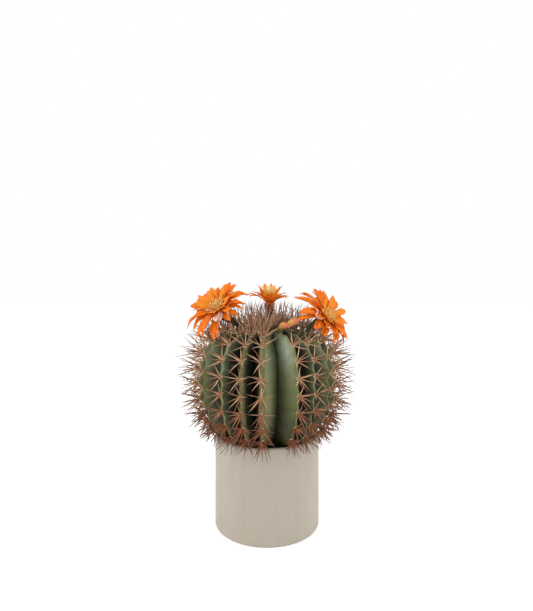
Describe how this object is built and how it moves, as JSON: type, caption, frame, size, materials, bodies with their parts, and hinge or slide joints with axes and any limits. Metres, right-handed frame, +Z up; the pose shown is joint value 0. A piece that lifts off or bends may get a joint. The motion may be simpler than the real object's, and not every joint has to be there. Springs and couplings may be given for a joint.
{
  "type": "potted round cactus",
  "caption": "Globe cactus with deep ribs, rows of spines and orange blooms at its crown, growing in a plain cylindrical ceramic pot.",
  "frame": {"origin": "middle of the pot's flat foot, on the surface it stands on", "axes": "+Z up along the pot's axis, -Y towards the viewer of the picture, +X to the viewer's right"},
  "size_m": [0.2228, 0.2163, 0.2878],
  "materials": {
    "pot": "matt",
    "soil": "rough",
    "cactus": "waxy",
    "petals": "satin",
    "tube": "matt",
    "stamens": "matt",
    "bud": "satin"
  },
  "bodies": {
    "root": {"pot": "pot", "soil": "soil", "cactus_globe": "cactus", "bloom_left_petals": "petals", "bloom_left_stamens": "stamens", "bloom_left_tube": "tube", "bloom_right_petals": "petals", "bloom_right_stamens": "stamens", "bloom_right_tube": "tube", "bloom_middle_petals": "petals", "bloom_middle_stamens": "stamens", "bloom_middle_tube": "tube", "bud_front": "bud", "bud_side": "bud"}
  },
  "joints": []
}
